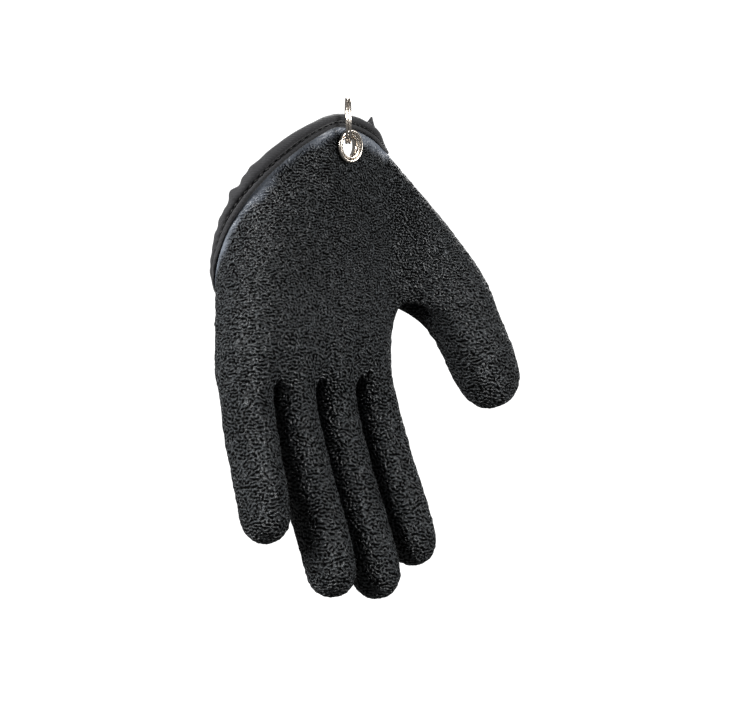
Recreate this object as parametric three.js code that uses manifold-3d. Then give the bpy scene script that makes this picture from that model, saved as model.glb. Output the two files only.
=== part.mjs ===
// A fishing glove for the left hand, in the form it has when worn, in millimetres with +Z up.
// The fingers hang down, the palm faces -Y, the thumb is at +X and the little finger at -X.
// The origin is the middle of the cuff's mouth, where the wrist sits.
import * as THREE from 'three';
import Module from 'manifold-3d';
import { mergeVertices } from 'three/addons/utils/BufferGeometryUtils.js';

const wasm = await Module();
wasm.setup();

// Cuff: its outside at the edge, and how high the palm side of the edge rises above the origin.
const cuffWidth = 86;
const cuffDepth = 55;
const cuffRise = 43;

// Palm: its outside across the knuckles, and the drops from the origin to where it divides.
const palmWidth = 94;
const palmDepth = 37;
const palmForward = 4;
const webDrop = 43;
const crotchDrop = 75;

// Fingers and thumb: outside sizes, and lengths from the fork of each one to its tip.
const fingerWidth = 23;
const fingerDepth = 26;
const littleLength = 75;
const ringLength = 103;
const middleLength = 107;
const indexLength = 94;
const thumbWidth = 33.5;
const thumbDepth = 32;
const thumbLength = 54;
const thumbReach = 74.2;
const thumbForward = 23;
const forkWidth = 21;
const forkRise = 24;

// The knitted liner with its dipped coat.
const shellWall = 1.8;

// The binding tape: how far it lies over the shell, how thick one layer is, and where it is sewn.
const tapeReach = 4.8;
const tapeLayer = 1.3;
const stitchInset = 2.1;
const seatGap = 0.45;

// The pointed end of the tape.
const tabWidth = 11;
const tabHeight = 16;

// The eyelet, and how far it sits from the high point of the cuff towards the thumb.
const eyeletFlange = 15;
const eyeletAside = -0.5;
const eyeletHole = 9;
const eyeletSheet = 0.6;
const flangeHeight = 1.5;
const washerDiameter = 14.4;

// The split ring, the space between its turns, and how far it sags below the top of the hole.
const ringDiameter = 21;
const ringWire = 1.25;
const ringLay = 0.12;
const ringSag = 2;
const ringTurn = -35;
const ringTurns = 1.96;

const degrees = THREE.MathUtils.degToRad;
const mix = THREE.MathUtils.lerp;

// The height of the cuff's edge going round it. Turn 0 is the thumb side and -90 the palm side.
// Rise is a share of cuffRise.
const edgeHeights = [
  { turn: -180, rise: -0.15 },
  { turn: -150, rise: 0.34 },
  { turn: -120, rise: 0.74 },
  { turn: -90, rise: 0.99 },
  { turn: -60, rise: 0.9 },
  { turn: -30, rise: 0.7 },
  { turn: 0, rise: 0.66 },
  { turn: 30, rise: 0.38 },
  { turn: 60, rise: -0.08 },
  { turn: 90, rise: -0.47 },
  { turn: 120, rise: -0.72 },
  { turn: 150, rise: -0.75 },
];

// Half of the palm's outline, from the little finger's edge to the middle. Each row is one column of
// the cage. Across is a share of half the palm's width. Deep is a share of half its depth, in the
// palm, and knuckle is the same at the forks, where each finger already stands out.
const palmColumns = [
  { across: -0.93, deep: 0.5, knuckle: 0.52 },
  { across: -0.735, deep: 0.8, knuckle: 0.97 },
  { across: -0.49, deep: 0.95, knuckle: 0.8 },
  { across: -0.245, deep: 1, knuckle: 1.02 },
  { across: 0, deep: 1, knuckle: 0.82 },
];

// The rows of the hand between the tape and the thumb's fork. Down is a share of the way, swell is a
// share of thumbSwell that the ball of the thumb stands out, and hollow is the same for the palm.
const handRows = [
  { down: 0, swell: 0.05, hollow: 0 },
  { down: 0.2, swell: 0.5, hollow: 0.1 },
  { down: 0.42, swell: 0.95, hollow: 0.45 },
  { down: 0.64, swell: 1, hollow: 0.9 },
  { down: 0.84, swell: 0.6, hollow: 1 },
];
const thumbSwell = 3.5;
const palmHollow = 2.5;
const webTilt = 12;

// Each finger: where it starts, as shares of half the palm's width, and how it leans and curls.
// Girth is a share of the finger sizes, lean is towards the thumb, and curl is towards the palm.
const fingers = [
  { at: -0.735, length: littleLength, girth: 0.98, forward: 3, lean: -3.8, curl: 19.5 },
  { at: -0.245, length: ringLength, girth: 1, forward: 1, lean: 1.6, curl: 20.5 },
  { at: 0.245, length: middleLength, girth: 1, forward: 0, lean: 2.4, curl: 20.5 },
  { at: 0.735, length: indexLength, girth: 0.98, forward: 1, lean: 3.4, curl: 20.5 },
];

// The rows of a finger's straight part. Down is a share of it, girth is a share of the finger's own,
// and bend is a share of its curl.
const fingerRows = [
  { down: 0.1, girth: 0.98, bend: 0.5 },
  { down: 0.34, girth: 1.02, bend: 0.8 },
  { down: 0.58, girth: 0.98, bend: 1.15 },
  { down: 0.8, girth: 0.99, bend: 1.3 },
  { down: 1, girth: 0.97, bend: 1.05 },
];

// The rounded end of a finger or thumb. Back is measured from the tip, as a share of its width.
const tipRows = [
  { back: 0.27, girth: 0.86 },
  { back: 0.05, girth: 0.5 },
];
const tipRound = 0.52;
const tipCrown = -0.04;

// The thumb's own rows, from its fork to the start of its rounded end.
const thumbRows = [
  { down: 0.25, girth: 0.98, bend: 0.9 },
  { down: 0.62, girth: 0.98, bend: 1.05 },
  { down: 1, girth: 0.95, bend: 0.9 },
];
const thumbLean = 21;
const thumbCurl = 12;

// The thumb's base is wider than the thumb. The ball of the thumb is highest at the turn it aims at,
// and falls off to both sides, faster with a higher power.
const thumbRoot = 1.06;
const thumbAim = -25;
const thumbFall = 1.5;
const hollowFall = 4;

// The setting tool presses the shell flat round the eyelet, and the flat fades out past the flange.
// Both are shares of the flange.
const flatReach = 0.75;
const flatFade = 1.9;

// Where the eyelet and the tab lie, in steps of the finer ring that goes round the cuff's edge.
const eyeletPlace = 12;
const tabPlace = 23;

// The cage has this many columns round the cuff, and this many sides round each finger. A ring of
// eight cage points is drawn in by the smoothing to the share named last.
const cuffColumns = 24;
const fingerSides = 8;
const cuffStep = 360 / cuffColumns;
const frontColumns = 2 * palmColumns.length - 1;
const eightDraw = (4 + 2 * Math.cos(degrees(45))) / 6;

// Facets of the round metal pieces.
const eyeletSides = 32;
const drillSides = 24;
const wireSides = 6;
const wireSteps = 56;

// A value of a table's column at any turn, on a smooth curve through its rows, which go round.
function atTurn(rows, key, turn) {
  const wrapped = turn < 180 ? turn : turn - 360;
  const whole = rows.findLastIndex((row) => row.turn <= wrapped);
  const part = (wrapped - rows[whole].turn) * rows.length / 360;
  const pick = (shift) => rows[(whole + shift + rows.length) % rows.length][key];
  const [before, from, to, after] = [pick(-1), pick(0), pick(1), pick(2)];
  const bendFrom = (to - before) / 2;
  const bendTo = (after - from) / 2;
  const square = part * part;
  const cube = square * part;
  return (2 * cube - 3 * square + 1) * from + (cube - 2 * square + part) * bendFrom
    + (3 * square - 2 * cube) * to + (cube - square) * bendTo;
}

// The column of the palm's outline, counted from the little finger, and on which side it lies.
function palmColumn(column) {
  const reach = Math.min(column, frontColumns - 1 - column);
  const row = palmColumns[reach];
  return { ...row, across: column > frontColumns / 2 ? -row.across : row.across };
}

// The way round the cuff at one of the cage's columns. The first one is next to the little finger.
function turnOf(column) {
  return cuffStep * (column + 1) - 180;
}

// The cuff's edge at one of the cage's columns.
function cuffPoint(column) {
  const turn = turnOf(column);
  return new THREE.Vector3(
    cuffWidth / 2 * Math.cos(degrees(turn)),
    cuffDepth / 2 * Math.sin(degrees(turn)),
    cuffRise * atTurn(edgeHeights, 'rise', turn));
}

// How far down a column the tape's edge lies, as a share of the way to the thumb's fork. The tape is
// measured square to the cuff's edge, so a steep stretch of the edge takes a longer way down.
function tapeShare(column) {
  const start = cuffPoint(column);
  const way = webPoint(column).sub(start);
  const length = way.length();
  const along = cuffPoint(column + 0.5).sub(cuffPoint(column - 0.5)).normalize();
  const slant = along.dot(way.normalize());
  return tapeReach / Math.sqrt(1 - slant ** 2) / length;
}

// The palm's outline at a drop below the origin. Knuckle is 0 in the palm and 1 at the forks.
function palmPoint(column, front, knuckle) {
  const row = palmColumn(column);
  const drop = mix(webDrop + webTilt * (1 - row.across) / 2, crotchDrop, knuckle);
  const deep = mix(row.deep, row.knuckle, knuckle) * palmDepth / 2;
  const side = front ? -1 : 1;
  const hollow = front ? palmHollow * (1 - knuckle) * (1 - row.across ** 2) : 0;
  return new THREE.Vector3(
    row.across * palmWidth / 2,
    side * deep + hollow - palmForward,
    -drop);
}

// The outer edge of the palm, on the little finger's side or on the index finger's.
function palmEdge(side, knuckle) {
  const drop = mix(webDrop + webTilt * (1 - side) / 2, crotchDrop, knuckle);
  return new THREE.Vector3(side * palmWidth / 2, -palmForward, -drop);
}

// A ring of eight points across a finger: its middle, its half sizes and the way it points.
function fingerRing(middle, halfWidth, halfDepth, lean, curl) {
  const tilt = new THREE.Matrix4().makeRotationX(-degrees(curl));
  const turn = new THREE.Matrix4().makeRotationY(-degrees(lean)).multiply(tilt);
  return Array.from({ length: fingerSides }, (unused, side) => {
    const angle = degrees(360 / fingerSides * side - 135);
    return new THREE.Vector3(
      halfWidth / eightDraw * Math.cos(angle),
      halfDepth / eightDraw * Math.sin(angle),
      0).applyMatrix4(turn).add(middle);
  });
}

// The way a finger points at a row: down, leaning towards the thumb and curling to the palm.
function fingerWay(lean, curl) {
  return new THREE.Vector3(0, 0, -1)
    .applyMatrix4(new THREE.Matrix4().makeRotationX(-degrees(curl)))
    .applyMatrix4(new THREE.Matrix4().makeRotationY(-degrees(lean)));
}

// The cage is a short list of corner points and four-sided faces, which smoothing turns into skin.
const cage = { points: [], quads: [] };

function addRing(points) {
  return points.map((point) => cage.points.push(point) - 1);
}

// Faces between an upper and a lower ring. Both go round the same way, from the palm to the thumb.
function addBand(upper, lower) {
  upper.forEach((corner, index) => {
    const next = (index + 1) % upper.length;
    cage.quads.push([corner, lower[index], lower[next], upper[next]]);
  });
}

// A digit is carried on from its base ring, row by row, to a rounded end.
function addDigit(base, start, size, rows) {
  const straight = size.length - tipRound * size.width;
  const place = start.clone();
  let above = base;
  let passed = 0;
  let curl = 0;
  const addRow = (along, girth) => {
    place.addScaledVector(fingerWay(size.lean, curl), along - passed);
    passed = along;
    const ring = fingerRing(place, girth * size.width / 2, girth * size.depth / 2, size.lean, curl);
    const corners = addRing(ring);
    addBand(above, corners);
    above = corners;
  };
  for (const row of rows) {
    curl = size.curl * row.bend;
    addRow(row.down * straight, row.girth);
  }
  for (const row of tipRows) addRow(size.length - row.back * size.width, row.girth);
  place.addScaledVector(fingerWay(size.lean, curl), size.length - tipCrown * size.width - passed);
  const [crown] = addRing([place]);
  for (let side = 0; side < fingerSides; side += 2) {
    cage.quads.push([crown, above[(side + 2) % fingerSides], above[side + 1], above[side]]);
  }
}

// The thumb's columns of the cuff run down to the outer side of its base ring.
const thumbBase = new THREE.Vector3(thumbReach, -thumbForward, -webDrop);
const thumbRing = fingerRing(
  thumbBase, thumbRoot * thumbWidth / 2, thumbRoot * thumbDepth / 2, thumbLean, thumbCurl);

// The ring where the thumb forks off, in the same order as the cuff's columns.
function webPoint(column) {
  const thumbColumns = fingerSides - 3;
  if (column < frontColumns) return palmPoint(column, true, 0);
  if (column < frontColumns + thumbColumns) return thumbRing[column - frontColumns + 1].clone();
  if (column < cuffColumns - 1) return palmPoint(cuffColumns - 2 - column, false, 0);
  return palmEdge(-1, 0);
}

// How much a column belongs to the ball of the thumb: all at the thumb, none at the little finger.
function thumbShare(column) {
  return Math.max(0, Math.cos(degrees(turnOf(column) - thumbAim))) ** thumbFall;
}

// A point of the hand between the cuff's edge and the thumb's fork.
function handPoint(column, down, swell, hollow) {
  const turn = degrees(turnOf(column));
  const out = new THREE.Vector3(Math.cos(turn), Math.sin(turn), 0);
  const point = cuffPoint(column).lerp(webPoint(column), down);
  point.addScaledVector(out, swell * thumbSwell * thumbShare(column));
  const inFront = Math.max(0, -out.y) ** hollowFall;
  point.y += hollow * palmHollow * inFront;
  return point;
}

const cuffRing = addRing(Array.from({ length: cuffColumns }, (unused, column) => cuffPoint(column)));
let handRing = cuffRing;
let tapeRing;
for (const row of handRows) {
  const points = Array.from({ length: cuffColumns }, (unused, column) => (
    handPoint(column, mix(tapeShare(column), 1, row.down), row.swell, row.hollow)));
  const corners = addRing(points);
  addBand(handRing, corners);
  handRing = corners;
  tapeRing ??= corners;
}

// At the thumb's fork the ring divides in two, with one shared point between palm and thumb.
const webRing = addRing(Array.from({ length: cuffColumns }, (unused, column) => webPoint(column)));
addBand(handRing, webRing);
const [webMiddle] = addRing([palmEdge(1, 0).add(new THREE.Vector3(forkWidth, 0, forkRise))]);
const front = webRing.slice(0, frontColumns);
const thumbSide = webRing.slice(frontColumns, cuffColumns - 1 - frontColumns);
const back = webRing.slice(cuffColumns - 1 - frontColumns, cuffColumns - 1);
const littleEdge = webRing[cuffColumns - 1];
addDigit([front.at(-1), ...thumbSide, back[0], webMiddle], thumbBase, {
  length: thumbLength, width: thumbWidth, depth: thumbDepth, lean: thumbLean, curl: thumbCurl,
}, thumbRows);

// Two more rings carry the palm down to the forks of the fingers.
let palmRing = [...front, webMiddle, ...back, littleEdge];
for (const knuckle of [0.5, 1]) {
  const corners = addRing([
    ...Array.from({ length: frontColumns }, (unused, column) => palmPoint(column, true, knuckle)),
    palmEdge(1, knuckle),
    ...Array.from({ length: frontColumns },
      (unused, column) => palmPoint(frontColumns - 1 - column, false, knuckle)),
    palmEdge(-1, knuckle),
  ]);
  addBand(palmRing, corners);
  palmRing = corners;
}

// Between two fingers there is one more shared point, in the middle of the fork.
const palmFront = palmRing.slice(0, frontColumns);
const palmBack = palmRing.slice(frontColumns + 1, 2 * frontColumns + 1).reverse();
const forks = fingers.slice(1).map((finger, index) => {
  const between = (finger.at + fingers[index].at) / 2;
  return new THREE.Vector3(between * palmWidth / 2, -palmForward, -crotchDrop);
});
const forkPoints = [palmRing.at(-1), ...addRing(forks), palmRing[frontColumns]];
fingers.forEach((finger, index) => {
  const column = 2 * index;
  const base = [
    palmFront[column], palmFront[column + 1], palmFront[column + 2], forkPoints[index + 1],
    palmBack[column + 2], palmBack[column + 1], palmBack[column], forkPoints[index],
  ];
  const start = new THREE.Vector3(
    finger.at * palmWidth / 2, -palmForward - finger.forward, -crotchDrop);
  addDigit(base, start, {
    length: finger.length,
    width: finger.girth * fingerWidth,
    depth: finger.girth * fingerDepth,
    lean: finger.lean,
    curl: finger.curl,
  }, fingerRows);
});

// One round of Catmull-Clark smoothing. Each face becomes four, and the cuff's edge stays an edge.
function smoothOnce(points, quads) {
  const edges = new Map();
  const keyOf = (a, b) => (a < b ? `${a} ${b}` : `${b} ${a}`);
  const around = points.map(() => ({ faces: [], edges: [] }));
  const facePoints = quads.map((quad) => {
    const middle = new THREE.Vector3();
    for (const corner of quad) middle.addScaledVector(points[corner], 1 / quad.length);
    return middle;
  });
  quads.forEach((quad, face) => {
    quad.forEach((corner, index) => {
      around[corner].faces.push(face);
      const next = quad[(index + 1) % quad.length];
      const key = keyOf(corner, next);
      if (!edges.has(key)) {
        const edge = { ends: [corner, next], faces: [] };
        edges.set(key, edge);
        around[corner].edges.push(edge);
        around[next].edges.push(edge);
      }
      edges.get(key).faces.push(face);
    });
  });
  const moved = points.map((point, corner) => {
    const rim = around[corner].edges.filter((edge) => edge.faces.length === 1);
    const others = (list) => list.map(({ ends: [start, end] }) => points[start === corner ? end : start]);
    const sum = new THREE.Vector3();
    if (rim.length > 0) {
      for (const other of others(rim)) sum.addScaledVector(other, 1 / 8);
      return sum.addScaledVector(point, 6 / 8);
    }
    const count = around[corner].edges.length;
    for (const other of others(around[corner].edges)) sum.addScaledVector(other, 1 / count ** 2);
    for (const face of around[corner].faces) sum.addScaledVector(facePoints[face], 1 / count ** 2);
    return sum.addScaledVector(point, (count - 2) / count);
  });
  const edgeIndex = new Map();
  for (const [key, edge] of edges) {
    const [start, end] = edge.ends.map((corner) => points[corner]);
    const middle = start.clone().add(end).multiplyScalar(0.5);
    if (edge.faces.length === 2) {
      const faceMiddle = facePoints[edge.faces[0]].clone().add(facePoints[edge.faces[1]]);
      middle.multiplyScalar(0.5).addScaledVector(faceMiddle, 0.25);
    }
    edgeIndex.set(key, moved.push(middle) - 1);
  }
  const firstFace = moved.length;
  moved.push(...facePoints);
  const finer = quads.flatMap((quad, face) => quad.map((corner, index) => {
    const next = quad[(index + 1) % quad.length];
    const last = quad[(index + quad.length - 1) % quad.length];
    const [ahead, behind] = [keyOf(corner, next), keyOf(last, corner)];
    return [corner, edgeIndex.get(ahead), firstFace + face, edgeIndex.get(behind)];
  }));
  return {
    points: moved,
    quads: finer,
    between: (a, b) => edgeIndex.get(keyOf(a, b)),
    within: (face) => firstFace + face,
  };
}

// Moves each point to where endless smoothing would leave it.
function settle(points, quads) {
  const rings = points.map(() => ({ near: new Map(), far: new Set() }));
  for (const quad of quads) {
    quad.forEach((corner, index) => {
      for (const shift of [1, 3]) {
        const other = quad[(index + shift) % quad.length];
        rings[corner].near.set(other, (rings[corner].near.get(other) ?? 0) + 1);
      }
      rings[corner].far.add(quad[(index + 2) % quad.length]);
    });
  }
  return points.map((point, corner) => {
    const { near, far } = rings[corner];
    const sum = new THREE.Vector3();
    const rim = [...near].filter(([, uses]) => uses === 1).map(([other]) => other);
    if (rim.length > 0) {
      for (const other of rim) sum.addScaledVector(points[other], 1 / 6);
      return sum.addScaledVector(point, 4 / 6);
    }
    const count = near.size;
    const whole = count * (count + 5);
    for (const other of near.keys()) sum.addScaledVector(points[other], 4 / whole);
    for (const other of far) sum.addScaledVector(points[other], 1 / whole);
    return sum.addScaledVector(point, count ** 2 / whole);
  });
}

const skin = smoothOnce(cage.points, cage.quads);
skin.points = settle(skin.points, skin.quads);

// The rings of the finer skin along the cuff's edge, along the tape's edge and between the two. The
// cage's first faces are the ones between them.
function finerRing(ring) {
  return ring.flatMap((corner, index) => [corner, skin.between(corner, ring[(index + 1) % ring.length])]);
}
const edgeRing = finerRing(cuffRing);
const seatRing = finerRing(tapeRing);
const halfRing = cuffRing.flatMap(
  (corner, index) => [skin.between(corner, tapeRing[index]), skin.within(index)]);

// The way out of the skin at each of its points.
function skinNormals(points, quads) {
  const normals = points.map(() => new THREE.Vector3());
  for (const quad of quads) {
    const [a, b, c, d] = quad.map((corner) => points[corner]);
    const normal = c.clone().sub(a).cross(d.clone().sub(b));
    for (const corner of quad) normals[corner].add(normal);
  }
  return normals.map((normal) => normal.normalize());
}

// The place on a closed ring of skin points that is nearest to another point, and its way out.
function nearestOn(ring, normals, target) {
  let best;
  let least = Infinity;
  ring.forEach((corner, index) => {
    const next = ring[(index + 1) % ring.length];
    const stretch = new THREE.Line3(skin.points[corner], skin.points[next]);
    const share = stretch.closestPointToPointParameter(target, true);
    const at = stretch.at(share, new THREE.Vector3());
    const away = at.distanceToSquared(target);
    if (away >= least) return;
    least = away;
    best = { at, out: normals[corner].clone().lerp(normals[next], share).normalize() };
  });
  return best;
}

// The line that the tape follows at a place on the cuff's edge: down the shell by way of the two
// rings below it. Each stop has its distance from the edge.
function edgeFrame(index, normals) {
  const corner = edgeRing[index];
  const edge = { at: skin.points[corner], out: normals[corner], far: 0 };
  const half = nearestOn(halfRing, normals, edge.at);
  const seat = nearestOn(seatRing, normals, half.at);
  half.far = half.at.distanceTo(edge.at);
  seat.far = half.far + seat.at.distanceTo(half.at);
  return [edge, half, seat];
}

// A point on the tape: how far it lies down from the edge, and out from the shell's outside.
function framePoint([edge, half, seat], far, height) {
  const [from, to] = far < half.far ? [edge, half] : [half, seat];
  const share = (far - from.far) / (to.far - from.far);
  const out = from.out.clone().lerp(to.out, Math.max(0, share)).normalize();
  return from.at.clone().addScaledVector(to.at.clone().sub(from.at), share).addScaledVector(out, height);
}

// The eyelet sits just under the tape, near the high point of the cuff's palm side.
const eyeletFrame = edgeFrame(eyeletPlace, skinNormals(skin.points, skin.quads));
const eyeletOut = eyeletFrame[0].out.clone();
const eyeletEdge = framePoint(eyeletFrame, 0, 0);
const eyeletDown = framePoint(eyeletFrame, tapeReach, 0).sub(eyeletEdge).projectOnPlane(eyeletOut);
const eyeletMiddle = eyeletEdge.clone()
  .addScaledVector(eyeletDown.normalize(), tapeReach + seatGap + eyeletFlange / 2)
  .addScaledVector(eyeletOut.clone().cross(eyeletDown), eyeletAside);

for (const point of skin.points) {
  const off = point.clone().sub(eyeletMiddle);
  const height = off.dot(eyeletOut);
  const away = off.addScaledVector(eyeletOut, -height).length() / eyeletFlange;
  if (Math.abs(height) < eyeletFlange / 2) {
    const pressed = THREE.MathUtils.smoothstep(flatFade - away, 0, flatFade - flatReach);
    point.addScaledVector(eyeletOut, -height * pressed);
  }
}

function solidFrom(vertices, triangles) {
  const geometry = new THREE.BufferGeometry();
  const places = vertices.flatMap((vertex) => vertex.toArray());
  geometry.setAttribute('position', new THREE.Float32BufferAttribute(places, 3));
  geometry.setIndex(triangles.flat());
  return geometry;
}

function toManifold(geometry) {
  const bare = geometry.clone();
  bare.deleteAttribute('normal');
  bare.deleteAttribute('uv');
  const merged = mergeVertices(bare, 1e-4);
  return new wasm.Manifold(new wasm.Mesh({
    numProp: 3,
    vertProperties: new Float32Array(merged.attributes.position.array),
    triVerts: new Uint32Array(merged.index.array),
  }));
}

function fromManifold(solid) {
  const mesh = solid.getMesh();
  const geometry = new THREE.BufferGeometry();
  geometry.setAttribute('position', new THREE.BufferAttribute(mesh.vertProperties, 3));
  geometry.setIndex(new THREE.BufferAttribute(mesh.triVerts, 1));
  return geometry;
}

// The eyelet's own radii, and the height of the washer's floor below the shell's outside.
const holeRadius = eyeletHole / 2;
const flangeRadius = eyeletFlange / 2;
const barrelRadius = holeRadius + 2 * eyeletSheet;
const washerRadius = washerDiameter / 2;
const washerFloor = -shellWall - seatGap - eyeletSheet;

// Turns a shape made round +Y so that it stands on the shell at the eyelet, facing out.
const eyeletTurn = new THREE.Quaternion().setFromUnitVectors(new THREE.Vector3(0, 1, 0), eyeletOut);
const eyeletSeat = new THREE.Matrix4().makeRotationFromQuaternion(eyeletTurn).setPosition(eyeletMiddle);

const pressedNormals = skinNormals(skin.points, skin.quads);

// The shell: the skin, the same skin one wall further in, and the cut edge between them.
function makeShell() {
  const count = skin.points.length;
  const inside = skin.points.map((point, corner) => (
    point.clone().addScaledVector(pressedNormals[corner], -shellWall)));
  const triangles = [];
  const addQuad = (a, b, c, d) => triangles.push([a, b, c], [a, c, d]);
  for (const [a, b, c, d] of skin.quads) {
    addQuad(a, b, c, d);
    triangles.push([a + count, c + count, b + count], [a + count, d + count, c + count]);
  }
  edgeRing.forEach((corner, index) => {
    const next = edgeRing[(index + 1) % edgeRing.length];
    addQuad(corner, next, next + count, corner + count);
  });
  const shell = toManifold(solidFrom([...skin.points, ...inside], triangles));
  const drillRadius = barrelRadius + seatGap;
  const drill = new THREE.CylinderGeometry(drillRadius, drillRadius, eyeletFlange, drillSides);
  drill.applyMatrix4(eyeletSeat);
  return fromManifold(shell.subtract(toManifold(drill)));
}

// The binding's section, folded over the edge. Down runs from the edge into the hand, and out is the
// height above the shell's outside. The stitch line draws the tape in.
const tapeOver = seatGap + tapeLayer;
const tapeSection = [
  { down: tapeReach, out: seatGap },
  { down: tapeReach, out: seatGap + tapeLayer / 2 },
  { down: tapeReach - stitchInset / 3, out: tapeOver },
  { down: tapeReach - stitchInset, out: seatGap + tapeLayer / 2 },
  { down: tapeReach - 1.7 * stitchInset, out: tapeOver + tapeLayer / 3 },
  { down: tapeReach / 5, out: tapeOver + tapeLayer / 3 },
  { down: -tapeOver / 2, out: tapeLayer / 2 },
  { down: -tapeOver / 2 - tapeLayer / 4, out: -shellWall / 2 },
  { down: -tapeOver / 2, out: -shellWall - tapeLayer / 2 },
  { down: tapeReach / 5, out: -shellWall - tapeOver },
  { down: tapeReach, out: -shellWall - tapeOver },
  { down: tapeReach, out: -shellWall - seatGap },
  { down: tapeReach / 2, out: -shellWall - seatGap },
  { down: -seatGap, out: -shellWall - seatGap },
  { down: -seatGap, out: seatGap },
  { down: tapeReach / 2, out: seatGap },
];

function makeBinding() {
  const vertices = [];
  const triangles = [];
  const size = tapeSection.length;
  const count = edgeRing.length;
  for (let index = 0; index < count; index += 1) {
    const frame = edgeFrame(index, pressedNormals);
    for (const corner of tapeSection) vertices.push(framePoint(frame, corner.down, corner.out));
  }
  for (let index = 0; index < count; index += 1) {
    for (let side = 0; side < size; side += 1) {
      const a = index * size + side;
      const b = index * size + (side + 1) % size;
      const c = ((index + 1) % count) * size + (side + 1) % size;
      const d = ((index + 1) % count) * size + side;
      const [first, second, third, fourth] = [a, b, c, d].map((corner) => vertices[corner]);
      if (first.distanceTo(third) < second.distanceTo(fourth)) triangles.push([a, d, c], [a, c, b]);
      else triangles.push([a, d, b], [b, d, c]);
    }
  }
  return solidFrom(vertices, triangles);
}

// The tab is the tape's own end, sewn flat outside the binding and cut to a point above it. Each row
// has its height, as a share of tabHeight over the edge or of tapeReach below it, and its two sides,
// as shares of tabWidth to the palm's side and to the back.
const tabRows = [
  { height: -1, palm: 0.54, back: 0.45 },
  { height: 0, palm: 0.54, back: 0.45 },
  { height: 0.3, palm: 0.52, back: 0.45 },
  { height: 0.8, palm: 0.15, back: 0.38 },
  { height: 1, palm: 0.02, back: 0.02 },
];

function makeTab() {
  const frame = edgeFrame(tabPlace, pressedNormals);
  const up = new THREE.Vector3(0, 0, 1);
  const out = frame[0].out.clone().projectOnPlane(up).normalize();
  const back = up.clone().cross(out);
  const lift = tapeOver + tapeLayer / 3 + 2 * seatGap;
  const vertices = tabRows.flatMap((row) => {
    const foot = framePoint(frame, row.height < 0 ? tapeReach : 0, 0);
    foot.addScaledVector(up, Math.max(0, row.height) * tabHeight);
    const corner = (side, layer) => foot.clone()
      .addScaledVector(back, side * tabWidth)
      .addScaledVector(out, lift + layer * tapeLayer);
    return [corner(-row.palm, 0), corner(-row.palm, 1), corner(row.back, 1), corner(row.back, 0)];
  });
  const triangles = [];
  const addQuad = (a, b, c, d) => triangles.push([a, b, c], [a, c, d]);
  const sides = 4;
  for (let row = 0; row < tabRows.length - 1; row += 1) {
    for (let side = 0; side < sides; side += 1) {
      const [a, b] = [row * sides + side, row * sides + (side + 1) % sides];
      addQuad(a, b, b + sides, a + sides);
    }
  }
  const top = (tabRows.length - 1) * sides;
  addQuad(3, 2, 1, 0);
  addQuad(top, top + 1, top + 2, top + 3);
  return solidFrom(vertices, triangles);
}

// A ring turned from a closed outline, with each corner at a radius and a height above the shell.
function turnedRing(outline, sides) {
  const points = outline.map(({ radius, height }) => new THREE.Vector2(radius, height));
  const geometry = new THREE.LatheGeometry([...points, points[0]], sides);
  return geometry.applyMatrix4(eyeletSeat);
}

// The eyelet's throat, from its outer face to its rolled lip. Along is a share of half its length
// from the middle, and flare is a share of the way from the hole's radius to the flange's.
const throatRows = [
  { along: 1, flare: 0.6 },
  { along: 0.5, flare: 0.2 },
  { along: 0, flare: 0 },
  { along: -0.5, flare: 0.2 },
  { along: -1, flare: 0.6 },
];
const throatTop = seatGap + flangeHeight;
const throatFloor = washerFloor - seatGap - eyeletSheet;
const throatMiddle = (throatTop + throatFloor) / 2;
const lipRadius = washerRadius - eyeletSheet;

// The eyelet: a domed flange outside, a barrel through the shell and a lip rolled over the washer.
const eyeletOutline = [
  { radius: barrelRadius, height: seatGap },
  { radius: flangeRadius, height: seatGap },
  { radius: flangeRadius, height: seatGap + flangeHeight / 2 },
  { radius: flangeRadius - flangeHeight / 3, height: throatTop },
  ...throatRows.map(({ along, flare }) => ({
    radius: mix(holeRadius, flangeRadius, flare),
    height: mix(throatMiddle, throatTop, along),
  })),
  { radius: lipRadius, height: throatFloor },
  { radius: lipRadius, height: washerFloor - seatGap },
  { radius: barrelRadius, height: washerFloor - seatGap },
];

// The washer: a flat ring against the shell's inside.
const washerOutline = [
  { radius: washerRadius, height: washerFloor },
  { radius: washerRadius, height: -shellWall - seatGap },
  { radius: barrelRadius + seatGap, height: -shellWall - seatGap },
  { radius: barrelRadius + seatGap, height: washerFloor },
];

// The split ring: two turns of wire, one beside the other, held up by the top of the eyelet's hole.
class RingCurve extends THREE.Curve {
  constructor(radius, pitch) {
    super();
    this.radius = radius;
    this.pitch = pitch;
  }

  getPoint(share, target = new THREE.Vector3()) {
    const turned = (share - 0.5) * ringTurns;
    const angle = 2 * Math.PI * turned;
    return target.set(
      turned * this.pitch,
      this.radius * Math.sin(angle),
      this.radius * Math.cos(angle));
  }
}

function makeSplitRing() {
  const wire = new THREE.Shape();
  for (let side = 0; side < wireSides; side += 1) {
    const angle = degrees(360 / wireSides * side);
    const corner = [ringWire / 2 * Math.cos(angle), ringWire / 2 * Math.sin(angle)];
    if (side === 0) wire.moveTo(...corner);
    else wire.lineTo(...corner);
  }
  wire.closePath();
  const radius = (ringDiameter - ringWire) / 2;
  const geometry = new THREE.ExtrudeGeometry(wire, {
    steps: wireSteps,
    extrudePath: new RingCurve(radius, ringWire + ringLay),
    bevelEnabled: false,
  });
  const holeTop = eyeletMiddle.z + holeRadius;
  const bottom = holeTop - ringSag - ringWire;
  const middle = eyeletMiddle.clone().addScaledVector(eyeletOut, throatMiddle);
  middle.z = bottom + ringDiameter / 2;
  const place = new THREE.Matrix4().makeRotationZ(degrees(ringTurn)).setPosition(middle);
  return geometry.applyMatrix4(place);
}
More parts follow.
